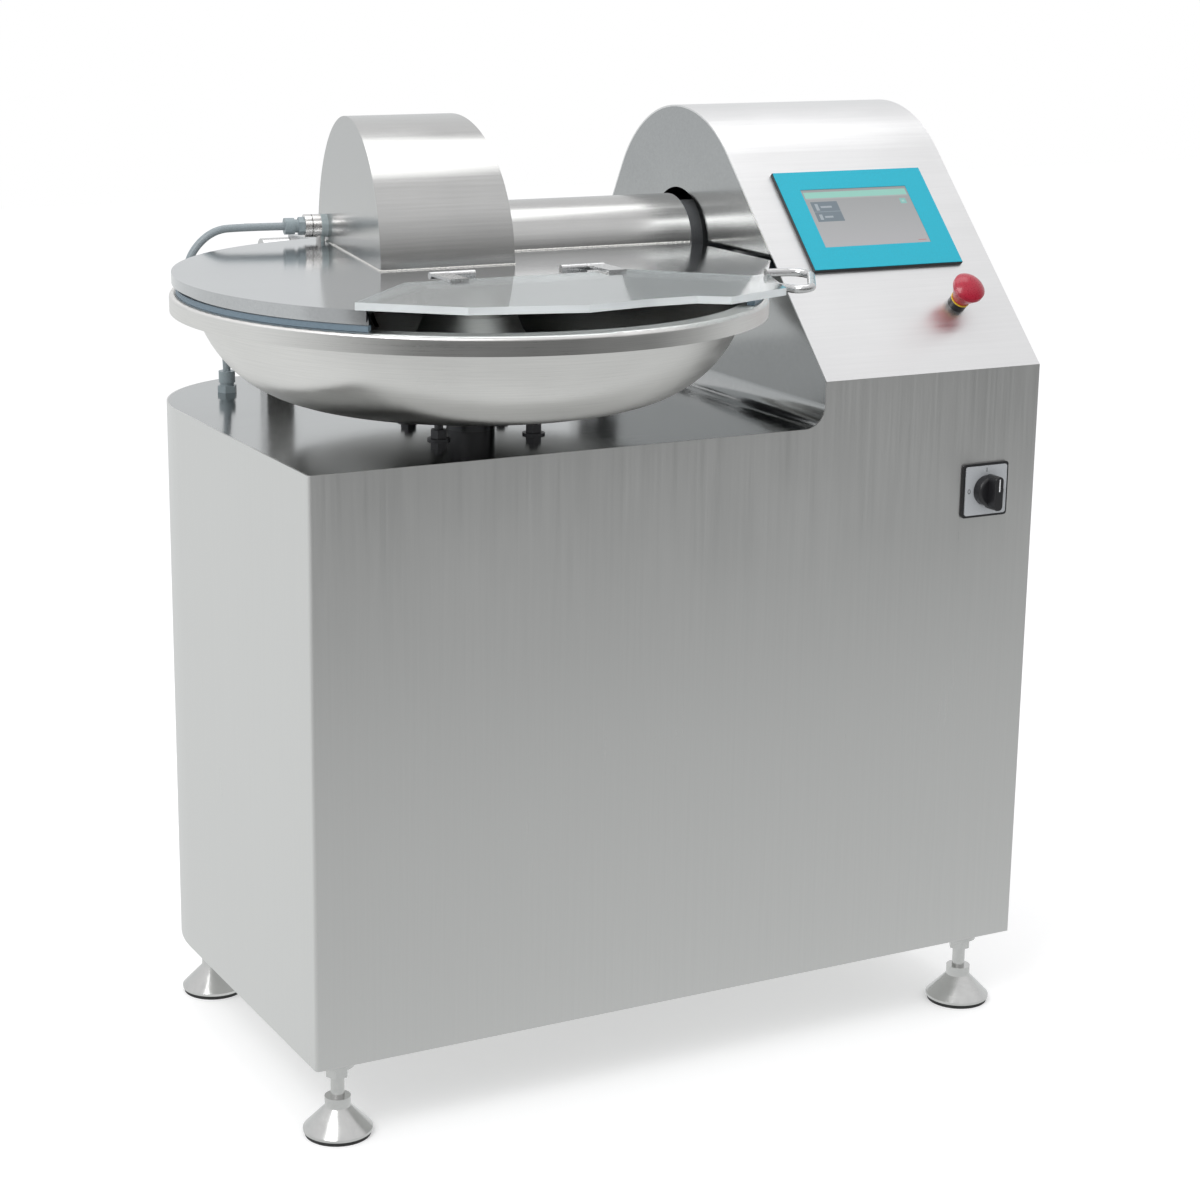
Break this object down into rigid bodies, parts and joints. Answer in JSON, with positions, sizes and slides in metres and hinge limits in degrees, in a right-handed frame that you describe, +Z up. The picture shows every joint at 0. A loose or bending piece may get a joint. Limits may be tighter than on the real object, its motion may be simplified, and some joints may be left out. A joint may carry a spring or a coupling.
{
  "type": "meat bowl cutter",
  "caption": "Stainless bowl cutter: turning annular bowl under a hinged lid with a clear feed flap, hooded sickle knives on a motor shaft, and a console with a touch screen.",
  "frame": {"origin": "centre of the bounding box's bottom, on the floor between the feet", "axes": "+X to the right along the knife shaft towards the console, +Y to the back, +Z up; the operator stands at -Y"},
  "size_m": [1.018, 0.78, 1.122],
  "materials": {
    "panel_steel": "brushed stainless sheet",
    "polished_steel": "polished stainless",
    "bowl_steel": "satin, turned stainless",
    "blade_steel": "ground",
    "fitting_steel": "satin",
    "frame_paint": "grey paint",
    "bearing_steel": "ground",
    "casting": "machined grey iron",
    "motor_paint": "blue-grey enamel",
    "belt_rubber": "black",
    "seal_rubber": "blue-grey",
    "pad_rubber": "black",
    "clear_sheet": "clear polycarbonate",
    "grey_plastic": "moulded grey",
    "cable_grey": "grey PVC",
    "black_plastic": "moulded black",
    "blue_plastic": "turquoise moulding",
    "display": "lit display under glass",
    "yellow_plastic": "moulded yellow",
    "red_plastic": "moulded red"
  },
  "bodies": {
    "machine": {"cabinet_wrap": "panel_steel", "service_panel": "panel_steel", "right_panel": "panel_steel", "console_skin": "panel_steel", "bottom_pan": "panel_steel", "deck": "polished_steel", "bowl_column": "bowl_steel", "column_bolts": "bowl_steel", "lid_brackets": "fitting_steel", "lid_pins": "fitting_steel", "foot_cones": "fitting_steel", "foot_spindles": "fitting_steel", "foot_nuts": "fitting_steel", "inner_frame": "frame_paint", "motor_shelf": "frame_paint", "bowl_bearings": "bearing_steel", "knife_bearings": "bearing_steel", "shaft_bracket": "casting", "knife_motor": "motor_paint", "bowl_gearmotor": "motor_paint", "knife_belts": "belt_rubber", "bowl_belt": "belt_rubber", "foot_pads": "pad_rubber", "deck_gland": "grey_plastic", "switch_dial": "grey_plastic", "sensor_cable": "cable_grey", "screen_housing": "black_plastic", "stop_collar": "black_plastic", "switch_base": "black_plastic", "screen_bezel": "blue_plastic", "screen_glass": "display", "stop_ring": "yellow_plastic"},
    "bowl": {"bowl": "bowl_steel", "bowl_screws": "bowl_steel", "bowl_spindle": "bowl_steel", "bowl_pulley": "casting"},
    "bowl_drive": {"bowl_drive_pulley": "casting"},
    "knife_rotor": {"knife_shaft": "blade_steel", "knife_nut": "blade_steel", "knife_1": "blade_steel", "knife_2": "blade_steel", "knife_3": "blade_steel", "knife_spacers": "blade_steel", "knife_pulley": "casting"},
    "motor_rotor": {"motor_pulley": "casting"},
    "lid": {"lid_plate": "polished_steel", "lid_skirt": "polished_steel", "lid_seal": "seal_rubber", "knife_hood": "polished_steel", "shaft_cover": "polished_steel", "sensor_socket": "fitting_steel", "sensor_gland": "grey_plastic", "lid_arms": "fitting_steel", "flap_leaves": "fitting_steel", "flap_pins": "fitting_steel"},
    "flap": {"feed_flap": "clear_sheet", "flap_handle": "fitting_steel", "flap_straps": "fitting_steel"},
    "stop_button": {"stop_head": "red_plastic"},
    "switch_handle": {"switch_knob": "black_plastic"}
  },
  "joints": [
    {"name": "bowl_spin", "type": "hinge", "parent": "machine", "child": "bowl", "pos_m": [-0.171, -0.04, 0.877], "axis": [0, 0, 1], "continuous": true},
    {"name": "bowl_drive_spin", "type": "hinge", "parent": "machine", "child": "bowl_drive", "pos_m": [0.059, -0.04, 0.69], "axis": [0, 0, 1], "continuous": true},
    {"name": "knife_spin", "type": "hinge", "parent": "machine", "child": "knife_rotor", "pos_m": [0.159, 0.142, 0.957], "axis": [1, 0, 0], "continuous": true},
    {"name": "motor_spin", "type": "hinge", "parent": "machine", "child": "motor_rotor", "pos_m": [0.409, 0.142, 0.43], "axis": [1, 0, 0], "continuous": true},
    {"name": "lid_hinge", "type": "hinge", "parent": "machine", "child": "lid", "pos_m": [-0.026, 0.356, 0.942], "axis": [-1, 0, 0], "range_deg": [0, 80]},
    {"name": "flap_hinge", "type": "hinge", "parent": "lid", "child": "flap", "pos_m": [-0.146, -0.126, 0.9683], "axis": [-1, 0, 0], "range_deg": [0, 100]},
    {"name": "stop_release", "type": "slide", "parent": "machine", "child": "stop_button", "axis": [0, -0.7141, 0.7], "range_m": [0, 0.0045]},
    {"name": "switch_turn", "type": "hinge", "parent": "machine", "child": "switch_handle", "pos_m": [0.435, -0.22, 0.684], "axis": [0, 1, 0], "range_deg": [0, 90]}
  ],
  "couplings": [
    {"joint": "bowl_drive_spin", "follows": "bowl_spin", "ratio": 2.8125},
    {"joint": "motor_spin", "follows": "knife_spin", "ratio": 0.8871}
  ]
}
